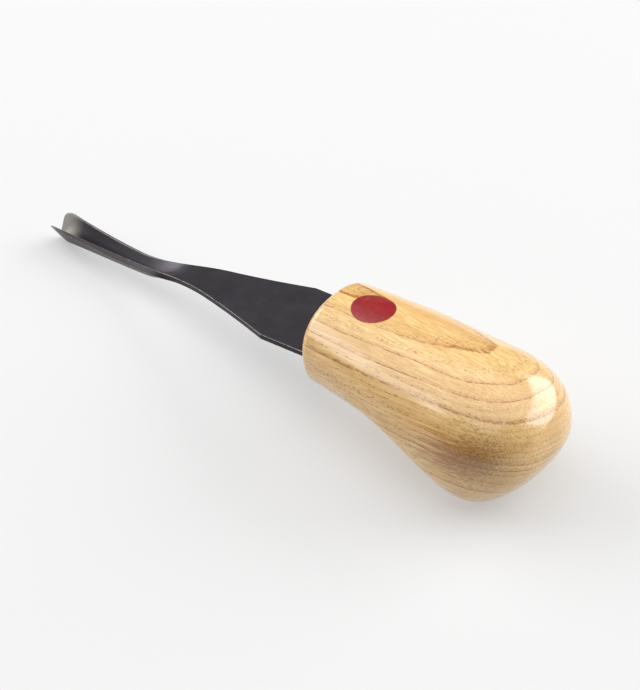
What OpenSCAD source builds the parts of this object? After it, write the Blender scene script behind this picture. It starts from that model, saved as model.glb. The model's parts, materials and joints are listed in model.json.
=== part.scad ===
// Palm-handled parting tool for carving wood: a bulb-shaped ash handle, a flat spring-steel
// blade whose end is folded into a V and ground, and the adhesive that beds its tang.
// The shape is worked out in the tool's own frame: x = 0 is the handle's front face, with the
// butt towards +x and the cutting edge towards -x, and z = 0 is the upper face of the blade.
// The finished tool is then laid down as it lies on a bench, on its belly and its keel.

/* [Handle] */
// Length of the handle from its front face to its butt
handle_length = 57; // [54:0.5:64]
// Width of the handle at its front face
front_width = 24; // [23.4:0.2:28]
// Height of the handle at its front face
front_height = 20.4; // [16:0.2:24]
// Rounding of the rim of the front face
rim_radius = 2; // [1:0.1:2]
// Width of the palm bulb
bulb_width = 35.6; // [30:0.2:42]
// Height of the bulb's back over the blade
bulb_back = 5; // [2:0.2:9]
// Depth of the bulb's belly under the blade
bulb_belly = 25.5; // [20:0.5:30]
// Distance from the front face to where the belly starts to swell
swell_start = 18; // [8:0.5:22]
// Distance from the front face to where the belly is at its full depth
swell_end = 47.5; // [42:0.5:52]
// Distance from the front face to where the sides are at their full width
widest_at = 52; // [44:0.5:54]

/* [Butt] */
// Depth of the butt's hindmost point under the blade
butt_drop = 8.5; // [5:0.5:12]
// Length of the butt's rounding seen from above
side_rounding = 18.5; // [14:0.5:26]
// Length of the rounding from the back down to the butt
back_rounding = 21; // [14:0.5:28]
// Length of the rounding from the belly up to the butt
belly_rounding = 20.5; // [14:0.5:28]
// Fullness of the rounding of back and sides, where 2 is a quarter of an ellipse
butt_fullness = 2.35; // [1.8:0.05:3]
// Fullness of the rounding of the belly
belly_fullness = 1.65; // [1.5:0.05:3]
// Fullness of the handle's cross-section, where 2 is an ellipse
section_fullness = 2.3; // [2:0.05:2.8]

/* [Shank] */
// Distance from the handle's front face to the cutting edge
blade_reach = 80; // [74:0.5:90]
// Thickness of the blade
blade_thickness = 1.3; // [1:0.05:1.6]
// Width of the flat shank, three quarters of an inch
shank_width = 19.05; // [16:0.05:19.2]
// Length of the shank's parallel part in front of the handle
shank_length = 13; // [6:0.5:16]
// Distance from the handle's front face to where the blade starts to bend out of flat
flat_end = 33; // [30:0.5:36]

/* [Neck] */
// Distance from the handle's front face to the narrowest part of the neck
neck_distance = 56; // [54:0.5:60]
// Width across the upper edges of the neck
neck_width = 3.3; // [2.8:0.1:4.4]
// Depth of the neck's upper edges under the flat shank
neck_dip = 2.3; // [1.4:0.1:2.8]
// Distance from the handle's front face to where the groove runs out
groove_end = 41.5; // [38:0.5:44]
// Distance from the handle's front face to where the groove is fully folded
groove_start = 52.5; // [50:0.5:54]

/* [V edge] */
// Width of the V at the cutting edge
v_width = 6; // [5:0.1:7]
// Included angle of the V, in degrees
v_angle = 60; // [55:1:70]
// Thickness of the ground wings behind the bevel
wing_thickness = 0.7; // [0.5:0.05:0.9]
// Length of the bevel
bevel_length = 2.6; // [1.8:0.1:4]
// Rounding of the wings' upper corners
corner_radius = 2; // [0.5:0.1:2.4]
// Width of the flat left along the cutting edge
edge_land = 0.05; // [0.04:0.01:0.1]

/* [Tang] */
// Length of the tang inside the handle
tang_length = 32; // [24:0.5:38]
// Width of the tang
tang_width = 12; // [8:0.5:14]
// Gap between the tang and its mortise, filled with adhesive
glue_gap = 0.15; // [0.1:0.01:0.25]
// Radius of the notches that lock the tang in the adhesive
notch_radius = 1.2; // [0.6:0.1:1.6]
// Spacing of the notches along the tang
notch_pitch = 8; // [5:0.5:9]
// Notches along each side of the tang
notch_count = 3; // [1:1:3]

/* [Hidden] */

// Rings of points along the handle, and points in a ring
handle_rings = 46;
handle_sides = 60;
// Shape of the sides' sweep from the front to the bulb
side_sweep = 1.1;

// Rings of points along the wings' rounded corners, the rest of the wings and the neck
corner_rings = 7;
wing_rings = 15;
neck_rings = 16;
// Points from the middle of a section to the wing's edge, and those of them round the keel
half_points = 8;
keel_points = 3;
// Points along each side of the shank's taper
taper_points = 12;
// Shape of the wings' rise towards the cutting edge, and of the shank's taper
flare_power = 1.5;
taper_power = 1.6;
// Least share of a half section's outside that is taken as the keel
keel_share = 0.15;

v_depth = v_width / 2 / tan(v_angle / 2);
keel_depth = v_depth + wing_thickness;
neck_groove = keel_depth - blade_thickness - neck_dip;

tang_thickness = blade_thickness - 2 * glue_gap;
// Length over which the tang runs on inside the shank
tang_root = 2;
first_notch = (tang_length - (notch_count - 1) * notch_pitch) / 2;
// How deep each notch bites into the tang's side
notch_depth = 0.8;
// How far a cut runs past the face that it opens
cut_margin = 1;
// Steepest tip that the tool can lie at, in degrees, and the halvings that find its own
steepest_tip = 30;
tip_halvings = 36;

// A share of travel from 0 to 1, eased at both ends
function eased(share) = let (s = min(1, max(0, share))) s * s * (3 - 2 * s);

// The handle: the outline from above and from the side, and a full-bodied cross-section

function rim_cut(x) = x >= rim_radius ? 0
    : rim_radius - sqrt(rim_radius ^ 2 - (rim_radius - x) ^ 2);

// 1 until the rounding starts, and 0 at the hindmost point of the butt
function round_off(x, rounding, fullness) =
    let (share = min(1, max(0, (x - handle_length + rounding) / rounding)))
    (1 - share ^ fullness) ^ (1 / fullness);

function side_at(x) =
    let (sweep = sin(90 * min(1, x / widest_at)) ^ side_sweep,
         half = front_width / 2 + (bulb_width - front_width) / 2 * sweep)
    (half - rim_cut(x)) * round_off(x, side_rounding, butt_fullness);

function back_line(x) =
    front_height / 2 + (bulb_back - front_height / 2) * x / handle_length;

function belly_line(x) =
    -front_height / 2 - (bulb_belly - front_height / 2)
    * eased((x - swell_start) / (swell_end - swell_start));

function middle_at(x) =
    let (share = eased(x / handle_length))
    (back_line(x) + belly_line(x)) / 2 * (1 - share) - butt_drop * share;

function back_at(x) =
    (back_line(x) - middle_at(x) - rim_cut(x)) * round_off(x, back_rounding, butt_fullness);

function belly_at(x) =
    (middle_at(x) - belly_line(x) - rim_cut(x)) * round_off(x, belly_rounding, belly_fullness);

// A point of a superellipse with half-axes of 1, at the given angle
function full_round(angle) =
    [for (v = [cos(angle), sin(angle)]) sign(v) * abs(v) ^ (2 / section_fullness)];

function handle_ring(x) =
    [for (side = [0 : handle_sides - 1])
        let (v = full_round(360 * (side + 0.5) / handle_sides))
        [x, side_at(x) * v.x, middle_at(x) + v.y * (v.y > 0 ? back_at(x) : belly_at(x))]];

handle_points = concat(
    [for (ring = [0 : handle_rings - 1])
        each handle_ring(handle_length * (1 - cos(180 * ring / handle_rings)) / 2)],
    [[handle_length, 0, -butt_drop]]);

// The faces between equal rings of points that follow each other
function tube_faces(rings, sides) =
    [for (ring = [0 : rings - 2], side = [0 : sides - 1])
        let (a = ring * sides + side, b = ring * sides + (side + 1) % sides)
        each [[a, b, b + sides], [a, b + sides, a + sides]]];

handle_faces = concat(
    [[for (side = [handle_sides - 1 : -1 : 0]) side]],
    tube_faces(handle_rings, handle_sides),
    [for (side = [0 : handle_sides - 1])
        let (first = (handle_rings - 1) * handle_sides)
        [first + side, first + (side + 1) % handle_sides, handle_rings * handle_sides]]);

// The blade, whose sections are taken at a distance d in front of the handle

function tip_share(d) = (d - neck_distance) / (blade_reach - neck_distance);

function edge_half(d) = neck_width / 2 + (d > neck_distance
    ? (v_width - neck_width) / 2 * tip_share(d) ^ flare_power
    : (shank_width - neck_width) / 2
        * ((neck_distance - d) / (neck_distance - shank_length)) ^ taper_power);

function edge_height(d) = -neck_dip * (d > neck_distance
    ? 1 - tip_share(d) ^ flare_power
    : eased((d - flat_end) / (neck_distance - flat_end)));

function wall_at(d) = blade_thickness - (blade_thickness - wing_thickness)
    * eased((d - neck_distance) / (blade_reach - bevel_length - neck_distance));

function groove_depth(d) = d > neck_distance
    ? edge_height(d) + keel_depth - wall_at(d)
    : neck_groove * eased((d - groove_end) / (groove_start - groove_end));

function ground_wall(d) =
    let (share = min(1, (blade_reach - d) / bevel_length))
    edge_land + (wall_at(d) - edge_land) * share;

function corner_cut(d) =
    let (short = max(0, corner_radius - (blade_reach - d)))
    corner_radius - sqrt(corner_radius ^ 2 - short ^ 2);

// The two faces of one side of a section, each as points from the middle to the wing's edge:
// the groove, straight up from its valley, and the outside, which is rounded about the valley
function groove_side(d) =
    let (wing = [edge_half(d), groove_depth(d)],
         slant = norm(wing) - corner_cut(d))
    [for (i = [0 : half_points])
        [0, edge_height(d) - groove_depth(d)] + wing / norm(wing) * slant * i / half_points];

function outer_side(d) =
    let (valley = [0, edge_height(d) - groove_depth(d)],
         wing = [edge_half(d), groove_depth(d)],
         up = wing / norm(wing),
         out = [up.y, -up.x],
         slant = norm(wing) - corner_cut(d),
         wall = ground_wall(d),
         bend = atan2(up.y, up.x),
         keel_arc = wall * bend * PI / 180,
         length = keel_arc + slant,
         keel = max(keel_arc, keel_share * length))
    [for (i = [0 : half_points])
        let (s = i <= keel_points ? keel * i / keel_points
                : keel + (length - keel) * (i - keel_points) / (half_points - keel_points))
        s < keel_arc ? valley + wall * [sin(bend * s / keel_arc), -cos(bend * s / keel_arc)]
            : valley + out * wall + up * (s - keel_arc)];

// A whole section as a ring: across the groove to the +y edge, and back along the outside
function blade_ring(d) =
    let (groove = groove_side(d), outside = outer_side(d), n = half_points)
    concat(
        [for (i = [n : -1 : 1]) [-d, -groove[i].x, groove[i].y]],
        [for (i = [0 : n]) [-d, groove[i].x, groove[i].y]],
        [for (i = [n : -1 : 0]) [-d, outside[i].x, outside[i].y]],
        [for (i = [1 : n]) [-d, -outside[i].x, outside[i].y]]);

ring_points = 4 * half_points + 2;

v_stations = concat(
    [for (i = [0 : corner_rings - 1])
        blade_reach - corner_radius * (1 - cos(90 * i / corner_rings))],
    [for (i = [0 : wing_rings], start = blade_reach - max(corner_radius, bevel_length))
        start - (start - neck_distance) * i / wing_rings],
    [for (i = [1 : neck_rings]) neck_distance - (neck_distance - flat_end) * i / neck_rings]);

v_points = [for (d = v_stations) each blade_ring(d)];

// The end of the V's tube of rings, as strips from the groove's points to the outside's
function end_faces(first) =
    [for (i = [0 : 2 * half_points - 1])
        [first + i, first + i + 1,
         first + ring_points - 2 - i, first + ring_points - 1 - i]];

v_faces = concat(
    [for (face = end_faces(0)) [for (i = [3 : -1 : 0]) face[i]]],
    tube_faces(len(v_stations), ring_points),
    end_faces((len(v_stations) - 1) * ring_points));

module v_end() {
    polyhedron(v_points, v_faces, convexity = 6);
}

taper_edge = [for (i = [0 : taper_points])
    let (d = flat_end - (flat_end - shank_length) * i / taper_points)
    [-d, edge_half(d)]];

shank_edge = concat(taper_edge, [[0, shank_width / 2]]);

module shank() {
    translate([0, 0, -blade_thickness])
        linear_extrude(blade_thickness)
            polygon(concat(shank_edge,
                [for (i = [len(shank_edge) - 1 : -1 : 0]) [shank_edge[i].x, -shank_edge[i].y]]));
}

// The tang starts inside the shank, and its notches bite into both sides
module tang() {
    difference() {
        translate([-tang_root, -tang_width / 2, glue_gap - blade_thickness])
            cube([tang_root + tang_length, tang_width, tang_thickness]);
        for (i = [0 : notch_count - 1], side = [-1, 1])
            translate([first_notch + i * notch_pitch,
                       side * (tang_width / 2 + notch_radius - notch_depth),
                       -blade_thickness - cut_margin])
                cylinder(h = blade_thickness + 2 * cut_margin, r = notch_radius, $fn = 32);
    }
}

// The mortise, which the handle and the adhesive share
module mortise(open_front = 0) {
    translate([-open_front, -tang_width / 2 - glue_gap, -blade_thickness])
        cube([open_front + tang_length + glue_gap, tang_width + 2 * glue_gap, blade_thickness]);
}

// How the tool lies: it is tipped until belly and keel reach equally low

outline_points = concat(handle_points, v_points, [[0, 0, 0]]);

function lowest(points, tip) = min([for (p = points) p.x * sin(tip) + p.z * cos(tip)]);

function rest_angle(low, high, halvings) =
    let (middle = (low + high) / 2)
    halvings == 0 ? middle
    : lowest(handle_points, middle) < lowest(v_points, middle)
        ? rest_angle(middle, high, halvings - 1)
        : rest_angle(low, middle, halvings - 1);

rest_tip = rest_angle(0, steepest_tip, tip_halvings);
along = [for (p = outline_points) p.x * cos(rest_tip) - p.z * sin(rest_tip)];

module laid_down() {
    translate([-(min(along) + max(along)) / 2, 0, -lowest(outline_points, rest_tip)])
        rotate([0, -rest_tip, 0])
            children();
}

module handle() {
    color("#e3c08a")
        laid_down()
            difference() {
                polyhedron(handle_points, handle_faces, convexity = 4);
                mortise(cut_margin);
            }
}

module blade() {
    color("#3a3734")
        laid_down()
            union() {
                v_end();
                shank();
                tang();
            }
}

module tang_adhesive() {
    color("#c9b27c")
        laid_down()
            difference() {
                mortise();
                tang();
            }
}

handle();
blade();
tang_adhesive();
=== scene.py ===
import json
import math

import bpy
from mathutils import Matrix, Vector


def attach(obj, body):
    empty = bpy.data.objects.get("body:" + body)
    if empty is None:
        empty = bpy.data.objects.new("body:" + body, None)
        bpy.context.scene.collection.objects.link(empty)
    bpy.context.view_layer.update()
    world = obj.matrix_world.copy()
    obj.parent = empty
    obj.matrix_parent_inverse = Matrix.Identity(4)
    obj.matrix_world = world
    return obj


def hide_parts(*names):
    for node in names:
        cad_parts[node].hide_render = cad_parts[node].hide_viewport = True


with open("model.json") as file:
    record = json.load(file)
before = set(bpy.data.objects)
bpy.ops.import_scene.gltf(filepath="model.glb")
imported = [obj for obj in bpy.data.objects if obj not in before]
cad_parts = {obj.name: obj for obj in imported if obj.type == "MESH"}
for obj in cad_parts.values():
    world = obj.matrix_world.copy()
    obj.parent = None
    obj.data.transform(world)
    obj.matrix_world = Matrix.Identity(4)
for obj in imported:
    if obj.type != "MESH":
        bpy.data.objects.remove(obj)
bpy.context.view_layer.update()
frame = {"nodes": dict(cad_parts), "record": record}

# How the tool lies
# The tool is drawn in its own frame: x runs from the handle's front face towards the butt, and z = 0
# is the upper face of the blade. On the bench it lies tipped, on its belly and the keel of the V,
# and the upper face of the shank, which the record names, says where.
mm = 0.001
shank_length = 13 * mm
shank_face = next(m for m in frame["record"]["mounts"] if m["name"] == "shank_upper_face")
tip = math.atan2(-shank_face["axis"][0], shank_face["axis"][2])
laid_down = (Matrix.Translation(shank_face["pos_m"]) @ Matrix.Rotation(-tip, 4, "Y")
             @ Matrix.Translation((shank_length / 2, 0, 0)))


# Blade
# One strip of spring steel, 1.3 mm thick, hardened and left with its dark tempering skin. Its end is
# folded into a V and ground thin, with rounded front corners and a bevel outside, and behind the
# square shoulders a narrow notched tang is bedded in the handle.

# The smooth meshes end a hair inside the nominal sizes, so that they keep to the solids' box
end_margin = 0.01 * mm
blade_reach = 80 * mm - end_margin
blade_thickness = 1.3 * mm
shank_width = 19.05 * mm
flat_end = 33 * mm
neck_distance = 56 * mm
neck_width = 3.3 * mm
neck_dip = 2.3 * mm
groove_end = 41.5 * mm
groove_start = 52.5 * mm
v_width = 6 * mm
v_angle = math.radians(60)
wing_thickness = 0.7 * mm
bevel_length = 2.6 * mm
corner_radius = 2 * mm
edge_land = 0.05 * mm
flare_power = 1.5
taper_power = 1.6
arris_radius = 0.13 * mm
arris_share = 0.35
arris_steps = 8
face_points = 22
keel_share = 0.3
crease_angle = math.radians(12)
keel_depth = v_width / 2 / math.tan(v_angle / 2) + wing_thickness
neck_groove = keel_depth - blade_thickness - neck_dip

tang_length = 32 * mm
tang_width = 12 * mm
glue_gap = 0.15 * mm
notch_radius = 1.2 * mm
notch_depth = 0.8 * mm
notch_pitch = 8 * mm
notch_count = 3


def eased(share):
    """A smooth step from 0 to 1."""
    share = min(1, max(0, share))
    return share * share * (3 - 2 * share)


def half_section(valley_height, rise, slant, wall):
    """One side of a section as ((y, z), wear, outside) from the valley up the groove, over the
    wing's edge and down the outside to the keel, for a wing that rises at that angle."""
    along = Vector((math.cos(rise), math.sin(rise)))
    out = Vector((along.y, -along.x))
    valley = Vector((0, valley_height))
    arris = min(arris_radius, wall * arris_share)
    points = [(valley + along * (slant - arris) * i / face_points, 0, 0)
              for i in range(face_points)]
    upper_corner = valley + along * slant
    for corner, first, then in ((upper_corner, -out, along),
                                (upper_corner + out * wall, along, out)):
        centre = corner - arris * (first + then)
        for i in range(arris_steps + 1):
            turn = math.pi / 2 * i / arris_steps
            bow = math.cos(turn) * first + math.sin(turn) * then
            past_arris = int(len(points) > face_points)
            points.append((centre + arris * bow, math.sin(2 * turn), past_arris))
    keel_arc = wall * rise
    length = keel_arc + slant - arris
    keel = max(keel_arc, keel_share * length)
    keel_points = face_points // 2
    for i in range(face_points - 1, -1, -1):
        reach = (keel * i / keel_points if i <= keel_points
                 else keel + (length - keel) * (i - keel_points) / (face_points - keel_points))
        if reach < keel_arc:
            turn = rise * reach / keel_arc
            points.append((valley + wall * Vector((math.sin(turn), -math.cos(turn))), 0, 1))
        else:
            points.append((valley + out * wall + along * (reach - keel_arc), 0, 1))
    return points


def blade_section(distance):
    """The section at a distance in front of the handle."""
    past_neck = distance - neck_distance
    flare = max(0, past_neck / (blade_reach - neck_distance)) ** flare_power
    taper = max(0, -past_neck / (neck_distance - shank_length))
    sink = 1 - flare if past_neck > 0 else eased((distance - flat_end) / (neck_distance - flat_end))
    half = (neck_width + (v_width - neck_width) * flare
            + (shank_width - neck_width) * min(1, taper) ** taper_power) / 2
    thinned = eased(past_neck / (blade_reach - bevel_length - neck_distance))
    wall = blade_thickness - (blade_thickness - wing_thickness) * thinned
    upper_edge = -neck_dip * sink
    folded = eased((distance - groove_end) / (groove_start - groove_end))
    groove = upper_edge + keel_depth - wall if past_neck > 0 else neck_groove * folded
    short = max(0, corner_radius - (blade_reach - distance))
    corner_cut = corner_radius - math.sqrt(corner_radius ** 2 - short ** 2)
    ground = min(1, (blade_reach - distance) / bevel_length)
    return half_section(upper_edge - groove, math.atan2(groove, half),
                        math.hypot(half, groove) - corner_cut,
                        edge_land + (wall - edge_land) * ground)


def tang_section(depth):
    """The section of the tang at a depth inside the handle, narrower where a notch bites."""
    first_notch = (tang_length - (notch_count - 1) * notch_pitch) / 2
    half = tang_width / 2
    for i in range(notch_count):
        off = abs(depth - first_notch - i * notch_pitch)
        if off < notch_radius:
            bite = math.sqrt(notch_radius ** 2 - off ** 2)
            half = min(half, tang_width / 2 + notch_radius - notch_depth - bite)
    return half_section(-glue_gap, 0, half, blade_thickness - 2 * glue_gap)


corner_rings, bevel_rings, wing_rings, neck_rings = 28, 4, 70, 90
taper_rings, shank_rings, tang_rings = 40, 4, 160
stations = [blade_reach - corner_radius * (1 - math.cos(math.pi / 2 * i / corner_rings))
            for i in range(corner_rings)]
for start, end, rings in ((blade_reach - corner_radius, blade_reach - bevel_length, bevel_rings),
                          (blade_reach - bevel_length, neck_distance, wing_rings),
                          (neck_distance, flat_end, neck_rings),
                          (flat_end, shank_length, taper_rings),
                          (shank_length, 0, shank_rings)):
    stations += [start - (start - end) * i / rings for i in range(rings)]
sections = [(-distance, blade_section(distance)) for distance in stations + [0]]
sections += [(tang_length * i / tang_rings, tang_section(tang_length * i / tang_rings))
             for i in range(tang_rings + 1)]

half_count = len(sections[0][1])
around = 2 * half_count - 2
blade_points, wear, outsides = [], [], []
for x, half in sections:
    mirrored = [(Vector((-p.x, p.y)), worn, outside) for p, worn, outside in half[-2:0:-1]]
    for p, worn, outside in half + mirrored:
        blade_points.append(laid_down @ Vector((x, p.x, p.y)))
        wear.append(worn)
        outsides.append(outside)

blade_faces = []
for ring in range(len(sections) - 1):
    for side in range(around):
        a, b = ring * around + side, ring * around + (side + 1) % around
        blade_faces.append((a, a + around, b + around, b))
for first in (0, (len(sections) - 1) * around):
    for mirror in (1, -1):
        side = [first + mirror * i % around for i in range(half_count)]
        caps = [(side[i], side[i + 1], side[-i - 2], side[-i - 1]) for i in range(face_points)]
        caps.append(tuple(side[face_points:-face_points]))
        blade_faces += [face if (mirror == 1) == (first == 0) else face[::-1] for face in caps]

blade_mesh = bpy.data.meshes.new("ground_blade")
blade_mesh.from_pydata(blade_points, [], blade_faces)
blade_mesh.attributes.new("worn", "FLOAT", "POINT").data.foreach_set("value", wear)
blade_mesh.attributes.new("outside", "FLOAT", "POINT").data.foreach_set("value", outsides)
blade_mesh.shade_smooth()
blade_mesh.set_sharp_from_angle(angle=crease_angle)
blade = bpy.data.objects.new("ground_blade", blade_mesh)
bpy.context.collection.objects.link(blade)


class Value:
    """A socket that can be used in sums: an expression on values adds its Math nodes."""

    def __init__(self, tree, socket):
        self.tree, self.socket = tree, socket

    def math(self, operation, *others):
        return self.tree.add("ShaderNodeMath", {"operation": operation}, self, *others)

    def __add__(self, other):
        return self.math("ADD", other)

    def __sub__(self, other):
        return self.math("SUBTRACT", other)

    def __rsub__(self, other):
        return self.tree.add("ShaderNodeMath", {"operation": "SUBTRACT"}, other, self)

    def __mul__(self, other):
        return self.math("MULTIPLY", other)

    def __truediv__(self, other):
        return self.math("DIVIDE", other)

    def __rtruediv__(self, other):
        return self.tree.add("ShaderNodeMath", {"operation": "DIVIDE"}, other, self)

    def __pow__(self, other):
        return self.math("POWER", other)

    def __neg__(self):
        return self.math("MULTIPLY", -1)

    def __gt__(self, other):
        return self.math("GREATER_THAN", other)

    def ramp(self, low, high):
        """A smooth step from 0 at low to 1 at high, where high may be the smaller of the two."""
        return self.tree.add("ShaderNodeMapRange",
                             {"interpolation_type": "SMOOTHSTEP", "clamp": True},
                             self, low, high, 0, 1, output="Result")

    __radd__ = __add__
    __rmul__ = __mul__


class Tree:
    """A node tree that is written as expressions."""

    def __init__(self, nodes, links):
        self.nodes, self.links = nodes, links

    def add(self, kind, settings, *values, output=0, named=None):
        """Adds a node with its settings, and sets or links its sockets in order or by name."""
        node = self.nodes.new(kind)
        for name, setting in settings.items():
            setattr(node, name, setting)
        inputs = [s for s in node.inputs if s.enabled]
        for socket, value in [*zip(inputs, values), *((node.inputs[n], v)
                                                      for n, v in (named or {}).items())]:
            if isinstance(value, Value):
                self.links.new(value.socket, socket)
            elif value is not None:
                socket.default_value = value
        found = node.outputs[output] if isinstance(output, str) else [
            s for s in node.outputs if s.enabled][output]
        return Value(self, found)

    def mix(self, share, first, second):
        """Mixes two colours."""
        return self.add("ShaderNodeMix", {"data_type": "RGBA"}, share, first, second)

    def noise(self, place, scale, detail=2, roughness=0.5):
        """A cloudy value between 0 and 1, about 0.5 on average."""
        return self.add("ShaderNodeTexNoise", {}, place, scale, detail, roughness, output="Fac")

    def vector(self, x, y, z):
        return self.add("ShaderNodeCombineXYZ", {}, x, y, z)


def colour(red, green, blue):
    """A screen colour, given as the eye reads it, in the linear values that a shader wants."""
    return [((c / 255 + 0.055) / 1.055) ** 2.4 if c > 10 else c / 255 / 12.92
            for c in (red, green, blue)] + [1]


def new_material(name, finish):
    """A material of one Principled shader, its finish set on the shader's own sockets, with the
    tree and the place on the tool in millimetres, in the tool's own frame."""
    material = bpy.data.materials.new(name)
    material.use_nodes = True
    shader = material.node_tree.nodes["Principled BSDF"]
    for socket, value in finish.items():
        shader.inputs[socket].default_value = value
    tree = Tree(material.node_tree.nodes, material.node_tree.links)
    place = tree.add("ShaderNodeTexCoord", {}, output="Object")
    inverse = laid_down.inverted()
    tool_place = tree.add("ShaderNodeMapping", {"vector_type": "POINT"}, place,
                          inverse.translation / mm, inverse.to_euler(), (1 / mm,) * 3)
    return material, shader, tree, tool_place


def axes(tree, place):
    """The three coordinates of a place."""
    split = tree.add("ShaderNodeSeparateXYZ", {}, place).socket.node
    return [Value(tree, socket) for socket in split.outputs]


def feed(tree, shader, base_color, roughness, normal):
    """Links what varies over the surface to the shader."""
    tree.links.new(base_color.socket, shader.inputs["Base Color"])
    tree.links.new(roughness.socket, shader.inputs["Roughness"])
    tree.links.new(normal.socket, shader.inputs["Normal"])


def bumped(tree, height, distance, strength=1):
    """The normal of a surface with that relief, its depth given in metres."""
    return tree.add("ShaderNodeBump", {}, output="Normal",
                    named={"Height": height, "Distance": distance, "Strength": strength})


skin_dark, skin_light = colour(76, 73, 78), colour(82, 79, 84)
rolling_mark, honed_face = colour(104, 99, 99), colour(200, 197, 190)
outside_painted_shade, bare_steel = colour(52, 49, 51), colour(208, 202, 194)
dark_steel, shader, tree, place = new_material("dark_spring_steel", {"Metallic": 1.0})
x, y, z = axes(tree, place)
cloudy = tree.noise(place, 0.18, 3)
rolled = tree.noise(tree.vector(x * 0.12, y * 3, z * 3), 1, 3)
speckle = tree.noise(place, 5, 2)
worn = tree.add("ShaderNodeAttribute", {"attribute_name": "worn"}, output="Fac")
outside = tree.add("ShaderNodeAttribute", {"attribute_name": "outside"}, output="Fac")
edge_distance = x + blade_reach / mm
honed = edge_distance.ramp(6.5, 0.5) * 0.85
bare = worn.ramp(0.5, 0.95) * speckle.ramp(0.25, 0.65) * (0.5 + edge_distance.ramp(32, 24) * 0.3)
skin = tree.mix(cloudy.ramp(0.35, 0.7), skin_dark, skin_light)
skin = tree.mix(rolled.ramp(0.45, 0.75) * 0.12, skin, rolling_mark)
skin = tree.mix(honed, skin, honed_face)
# Painted shade: the outer faces of the V and the underside of the blade are darker
skin = tree.mix(outside * 0.85, skin, outside_painted_shade)
skin = tree.mix(bare, skin, bare_steel)
feed(tree, shader, base_color=skin,
     roughness=0.42 + (rolled - 0.5) * 0.06 + (cloudy - 0.5) * 0.05 - honed * 0.08,
     normal=bumped(tree, rolled * 0.6 + speckle * 0.4, 0.012 * mm))
blade_mesh.materials.append(dark_steel)
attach(blade, "root")
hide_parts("blade")


# Adhesive
# Amber epoxy that was poured into the mortise before the tang was pushed home. It fills the notches
# and locks the blade, and nothing of it shows once the shoulders sit on the handle.
amber, honey = colour(196, 160, 96), colour(216, 190, 132)
epoxy, shader, tree, place = new_material("amber_epoxy", {"IOR": 1.53, "Coat Weight": 0.2})
bubbles = tree.add("ShaderNodeTexVoronoi", {}, place, 2.2, output="Distance").ramp(0.12, 0.2)
murk = tree.noise(place, 0.5, 3)
feed(tree, shader, base_color=tree.mix(murk, amber, honey), roughness=0.25 + murk * 0.2,
     normal=bumped(tree, bubbles, 0.03 * mm))
bed = frame["nodes"]["tang_adhesive"]
for slot in bed.material_slots:
    slot.material = epoxy


# Handle
# One block of ash, shaped to fill a palm: flat in front, gently sloping on the back, with a belly
# that swells into the bulb. It is sanded smooth, its rim is eased, and clear lacquer is sprayed on.
facet_margin = 0.03 * mm
handle_sizes = {
    "Length": 57 * mm - end_margin,
    "Front Width": 24 * mm,
    "Front Height": 20.4 * mm - 2 * facet_margin,
    "Rim Radius": 2 * mm,
    "Bulb Width": 35.6 * mm - 2 * facet_margin,
    "Bulb Back": 5 * mm,
    "Bulb Belly": 25.5 * mm - facet_margin,
    "Swell Start": 18 * mm,
    "Swell End": 47.5 * mm,
    "Widest At": 52 * mm,
    "Butt Drop": 8.5 * mm,
    "Side Rounding": 18.5 * mm,
    "Back Rounding": 21 * mm,
    "Belly Rounding": 20.5 * mm,
    "Mortise Length": tang_length + glue_gap,
    "Mortise Width": tang_width + 2 * glue_gap,
    "Mortise Height": blade_thickness,
}
back_fullness = 2.35
belly_fullness = 1.65
section_fullness = 2.3
side_sweep = 1.1
ring_count, side_count, front_rings = 260, 300, 8
weld_distance = 0.001 * mm
mortise_crease = math.radians(40)

lofting = bpy.data.node_groups.new("handle_loft", "GeometryNodeTree")
for name in handle_sizes:
    lofting.interface.new_socket(name, in_out="INPUT", socket_type="NodeSocketFloat")
lofting.interface.new_socket("Wood", in_out="INPUT", socket_type="NodeSocketMaterial")
lofting.interface.new_socket("Geometry", in_out="OUTPUT", socket_type="NodeSocketGeometry")
tree = Tree(lofting.nodes, lofting.links)
given = lofting.nodes.new("NodeGroupInput")
size = {name: Value(tree, given.outputs[name]) for name in handle_sizes}


def at_most(value, limit):
    return value.math("MINIMUM", limit)


def at_least(value, limit):
    return value.math("MAXIMUM", limit)


# The grid's rows are the rings: the first few close the flat front face, and the rest follow the
# handle to the butt, closer together at both ends where the outline turns most
rows = front_rings + ring_count
grid = tree.add("GeometryNodeMeshGrid", {}, 1, 1, rows + 1, side_count + 1, output="Mesh")
spot = tree.add("ShaderNodeSeparateXYZ", {}, tree.add("GeometryNodeInputPosition", {}))
row = (Value(tree, spot.socket.node.outputs["X"]) + 0.5) * rows
turn = (0.5 - Value(tree, spot.socket.node.outputs["Y"])) * (2 * math.pi)
filled = at_most(row / front_rings, 1)
share = at_least(row - front_rings, 0) / ring_count
x = size["Length"] * (1 - (share * math.pi).math("COSINE")) / 2

rim = size["Rim Radius"]
short = at_least(rim - x, 0)
rim_cut = rim - at_least(rim * rim - short * short, 0).math("SQRT")


def round_off(rounding, fullness):
    """1 until the rounding starts, and 0 at the hindmost point of the butt."""
    run = at_most(at_least((x - size["Length"] + rounding) / rounding, 0), 1)
    return at_least(1 - run ** fullness, 0) ** (1 / fullness)


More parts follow.
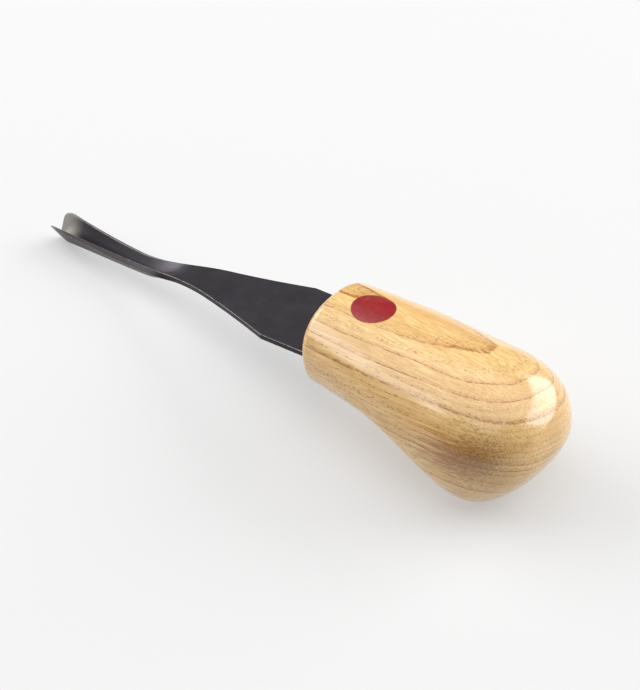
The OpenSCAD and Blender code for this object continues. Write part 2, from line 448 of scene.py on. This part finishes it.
sweep = (at_most(x / size["Widest At"], 1) * (math.pi / 2)).math("SINE") ** side_sweep
half_width = (size["Front Width"] + (size["Bulb Width"] - size["Front Width"]) * sweep) / 2
side_reach = (half_width - rim_cut) * round_off(size["Side Rounding"], back_fullness)
half_front = size["Front Height"] / 2
back_line = half_front + (size["Bulb Back"] - half_front) * x / size["Length"]
swell = ((x - size["Swell Start"]) / (size["Swell End"] - size["Swell Start"])).ramp(0, 1)
belly_line = -half_front - (size["Bulb Belly"] - half_front) * swell
settle = (x / size["Length"]).ramp(0, 1)
middle = (back_line + belly_line) / 2 * (1 - settle) - size["Butt Drop"] * settle
back_reach = (back_line - middle - rim_cut) * round_off(size["Back Rounding"], back_fullness)
belly_reach = (middle - belly_line - rim_cut) * round_off(size["Belly Rounding"], belly_fullness)


def full_bodied(swing):
    """A swing round the section, between -1 and 1, that lingers at the sides, back and belly."""
    return swing.math("SIGN") * swing.math("ABSOLUTE") ** (2 / section_fullness)


across, height = full_bodied(turn.math("COSINE")), full_bodied(turn.math("SINE"))
reach = tree.add("GeometryNodeSwitch", {"input_type": "FLOAT"}, height > 0, belly_reach, back_reach)
placed = tree.vector(x, side_reach * across * filled, middle + reach * height * filled)
lofted = tree.add("GeometryNodeSetPosition", {}, grid, None, placed)
lofted = tree.add("GeometryNodeMergeByDistance", {}, lofted, None, None,
                  named={"Distance": weld_distance})
cutter = tree.add("GeometryNodeMeshCube", {}, output="Mesh", named={"Size": tree.vector(
    size["Mortise Length"] * 2, size["Mortise Width"], size["Mortise Height"])})
cutter = tree.add("GeometryNodeTransform", {}, cutter, named={
    "Translation": tree.vector(0, 0, -size["Mortise Height"] / 2)})
opened = tree.add("GeometryNodeMeshBoolean", {"operation": "DIFFERENCE", "solver": "EXACT"},
                  lofted, cutter, output="Mesh")
shaded = tree.add("GeometryNodeSetShadeSmooth", {}, opened)
bend = tree.add("GeometryNodeInputMeshEdgeAngle", {}, output="Unsigned Angle")
creased = tree.add("GeometryNodeSetShadeSmooth", {"domain": "EDGE"}, shaded, bend > mortise_crease,
                   False)
real = tree.add("GeometryNodeRealizeInstances", {}, creased)
done = tree.add("GeometryNodeSetMaterial", {}, real, None, Value(tree, given.outputs["Wood"]))
tree.links.new(done.socket, lofting.nodes.new("NodeGroupOutput").inputs["Geometry"])

fibre_dark, fibre_light = colour(206, 160, 90), colour(232, 200, 140)
figure_gold, early_gold = colour(200, 146, 80), colour(198, 144, 78)
painted_shade_brown, fleck_cream = colour(142, 82, 8), colour(240, 214, 168)
ring_brown, pore_brown = colour(150, 94, 30), colour(104, 62, 20)
ink_dark, ink_light = colour(128, 0, 10), colour(148, 4, 18)
ash, shader, tree, place = new_material("lacquered_ash", {
    "IOR": 1.5, "Coat Weight": 1.0, "Coat Roughness": 0.15, "Coat IOR": 1.5})
x, y, z = axes(tree, place)

# The growth layers lie nearly flat and a little tipped, so that they show as arcs on the back and
# as lines along the sides and round the butt
ring_width, first_line, handle_middle = 1.55, -0.15, 30
layer_tilt, layer_rise, layer_bow = 0.26, 0.034, 0.0052
wander = (tree.noise(tree.vector(x * 0.02, y * 0.07, z * 0.07), 1, 1) - 0.5) * 2.2
ripple = (tree.noise(tree.vector(x * 0.1, y * 0.5, z * 0.5), 1, 2) - 0.5) * 0.35
level = (z + y * layer_tilt + (x - handle_middle) * layer_rise - y * y * layer_bow
         + wander + ripple)
uneven = (tree.noise(tree.vector(0, 0, level * 0.3), 1, 1) - 0.5) * 2.6
growth = (level - first_line) / ring_width + uneven
season = growth.math("FRACT")
ring_age = growth.math("FLOOR")
strength = tree.add("ShaderNodeTexWhiteNoise", {"noise_dimensions": "1D"}, output="Value",
                    named={"W": ring_age})
early = season.ramp(0, 0.06) * season.ramp(0.62, 0.1)
broken = tree.noise(tree.vector(x * 0.3, y * 2, z * 2), 1, 2).ramp(0.36, 0.56)
line = season.ramp(0, 0.04) * season.ramp(0.2, 0.06) * strength.ramp(0, 0.8) * broken

# Open pores, short dashes along the fibres, crowded in the early wood
fibre = tree.vector(x * 0.75, y * 5.2, z * 5.2)
cell = tree.add("ShaderNodeTexVoronoi", {}, fibre, 1, output="Distance")
picked = tree.add("ShaderNodeSeparateXYZ", {}, Value(tree, cell.socket.node.outputs["Color"]))
sparse = picked.ramp(0.35, 0.45)
pore = cell.ramp(0.42, 0.22) * sparse * (early * 0.9 + 0.12)
streak = tree.noise(tree.vector(x * 0.06, y * 2.6, z * 2.6), 1, 3, 0.6)
fleck = tree.noise(tree.vector(x * 0.5, y * 6, z * 6), 1, 2, 0.6)
figure = tree.noise(tree.vector(x * 0.035, y * 0.16, z * 0.16), 1, 2)

# Painted shade: the wood is browner on the near side of the bulb, ragged along the fibres
painted_shade_middle, painted_shade_spread = (46, -17, -4.5), (14, 9, 6)
from_painted_shade = tree.vector(*((at - middle_at) / spread for at, middle_at, spread
                           in zip((x, y, z), painted_shade_middle, painted_shade_spread)))
painted_shade = (tree.add("ShaderNodeVectorMath", {"operation": "LENGTH"}, from_painted_shade, output="Value")
         + (figure - 0.5) * 0.8 + (streak - 0.5) * 1.2).ramp(1.2, 0.1)

wood = tree.mix(streak.ramp(0.3, 0.72), fibre_dark, fibre_light)
wood = tree.mix(figure.ramp(0.35, 0.68) * 0.4, wood, figure_gold)
wood = tree.mix(early * (0.15 + strength * 0.4), wood, early_gold)
# The painted shade on the near side of the bulb, in a brown wood colour
wood = tree.mix(painted_shade * 0.8, wood, painted_shade_brown)
wood = tree.mix(fleck.ramp(0.52, 0.75) * 0.35, wood, fleck_cream)
wood = tree.mix(line * 0.9, wood, ring_brown)
wood = tree.mix(pore * 0.85, wood, pore_brown)

# A plain round dot of red ink, printed under the lacquer on the back, thinner over the pores
dot_along, dot_across, dot_radius, dot_fade = 10.7, 1.4, 4.9, 0.14
from_dot = ((x - dot_along) * (x - dot_along)
            + (y - dot_across) * (y - dot_across)).math("SQRT")
ragged = (tree.noise(place, 3, 2) - 0.5) * 0.16
inked = (from_dot + ragged).ramp(dot_radius, dot_radius - dot_fade) * (z > 0)
ink = tree.mix(streak.ramp(0.3, 0.7), ink_dark, ink_light)
wood = tree.mix(inked * (1 - pore * 0.35 - line * 0.1), wood, ink)
feed(tree, shader, base_color=wood, roughness=0.42 + (fleck - 0.5) * 0.2 + pore * 0.2,
     normal=bumped(tree, streak * 0.5 + fleck * 0.25 - pore * 1.4, 0.03 * mm, 0.8))

blank = bpy.data.objects.new("handle_blank", bpy.data.meshes.new("handle_blank"))
bpy.context.collection.objects.link(blank)
loft = blank.modifiers.new("loft", "NODES")
loft.node_group = lofting
for item in lofting.interface.items_tree:
    if item.in_out == "INPUT":
        loft[item.identifier] = ash if item.name == "Wood" else handle_sizes[item.name]
shaped = blank.evaluated_get(bpy.context.evaluated_depsgraph_get())
handle_mesh = bpy.data.meshes.new_from_object(shaped)
handle_mesh.transform(laid_down)
handle_mesh.name = "ash_handle"
bpy.data.objects.remove(blank)
handle = bpy.data.objects.new("ash_handle", handle_mesh)
bpy.context.collection.objects.link(handle)
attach(handle, "root")
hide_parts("handle")


# Floor
# A plain matt white tabletop, much larger than the view, just under the tool. It is opal acrylic
# that is faintly lit from below, which keeps the shadows light.
floor_size = 6.0
floor_gap = 0.02 * mm
floor_white, floor_glow = 0.37, 0.38
floor_mesh = bpy.data.meshes.new("tabletop")
floor_mesh.from_pydata([(floor_size * sx / 2, floor_size * sy / 2, -floor_gap)
                        for sx, sy in ((-1, -1), (1, -1), (1, 1), (-1, 1))], [], [(0, 1, 2, 3)])
tabletop = bpy.data.objects.new("tabletop", floor_mesh)
bpy.context.collection.objects.link(tabletop)
white_top = bpy.data.materials.new("white_tabletop")
white_top.use_nodes = True
top_shader = white_top.node_tree.nodes["Principled BSDF"]
top_shader.inputs["Base Color"].default_value = (floor_white, floor_white, floor_white, 1)
top_shader.inputs["Emission Color"].default_value = (1, 1, 1, 1)
top_shader.inputs["Emission Strength"].default_value = floor_glow
top_shader.inputs["Roughness"].default_value = 0.9
top_shader.inputs["Specular IOR Level"].default_value = 0.1
floor_mesh.materials.append(white_top)


# Light
# Softboxes round the table: one overhead, one behind on the right and one in front on the left,
# each given by its direction and spread in degrees as the tool sees it. The camera's side is dark.
softboxes = {
    "overhead": {"azimuth": 180, "elevation": 84, "width": 68, "height": 68, "radiance": 1.65},
    "behind_right": {"azimuth": 150, "elevation": 25, "width": 52, "height": 34, "radiance": 5.8},
    "front_left": {"azimuth": -76, "elevation": 33, "width": 58, "height": 38, "radiance": 4.2},
}
softbox_distance = 1.5
room_light = 0.08
for name, box in softboxes.items():
    azimuth, elevation = math.radians(box["azimuth"]), math.radians(box["elevation"])
    towards = Vector((math.sin(azimuth) * math.cos(elevation),
                      -math.cos(azimuth) * math.cos(elevation), math.sin(elevation)))
    light = bpy.data.lights.new(name, "AREA")
    light.shape = "RECTANGLE"
    light.size = 2 * softbox_distance * math.tan(math.radians(box["width"] / 2))
    light.size_y = 2 * softbox_distance * math.tan(math.radians(box["height"] / 2))
    light.energy = box["radiance"] * math.pi * light.size * light.size_y
    lamp = bpy.data.objects.new(name, light)
    lamp.location = towards * softbox_distance
    lamp.rotation_euler = (-towards).to_track_quat("-Z", "Y").to_euler()
    bpy.context.collection.objects.link(lamp)

world = bpy.data.worlds.new("studio")
world.use_nodes = True
room = world.node_tree.nodes["Background"]
room.inputs["Color"].default_value = (room_light, room_light, room_light, 1)
bpy.context.scene.world = world
bpy.context.scene.view_settings.view_transform = "Standard"
bpy.context.scene.view_settings.look = "None"


# Camera
# A long lens from the front right, looking down. Its place and its framing come from a fit of the
# tool's outline to the photograph, measured from the middle of the handle's front face.
picture_height = 690
focal_pixels = 5000
camera_distance = 1.0640
camera_azimuth, camera_elevation = math.radians(39.043), math.radians(42.496)
aim_right, aim_up = 3.177 * mm, 3.172 * mm
cos_a, sin_a = math.cos(camera_azimuth), math.sin(camera_azimuth)
cos_e, sin_e = math.cos(camera_elevation), math.sin(camera_elevation)
right = Vector((cos_a, sin_a, 0))
upward = Vector((-sin_a * sin_e, cos_a * sin_e, cos_e))
back = Vector((sin_a * cos_e, -cos_a * cos_e, sin_e))
front_face = laid_down @ Vector((0, 0, 0))
standpoint = front_face + back * camera_distance - right * aim_right - upward * aim_up
lens = bpy.data.cameras.new("camera")
lens.sensor_width = 36
lens.lens = focal_pixels * lens.sensor_width / picture_height
lens.clip_start, lens.clip_end = 0.05, 20
camera = bpy.data.objects.new("camera", lens)
turned = Matrix((right, upward, back)).transposed().to_4x4()
camera.matrix_world = Matrix.Translation(standpoint) @ turned
bpy.context.collection.objects.link(camera)
bpy.context.scene.camera = camera
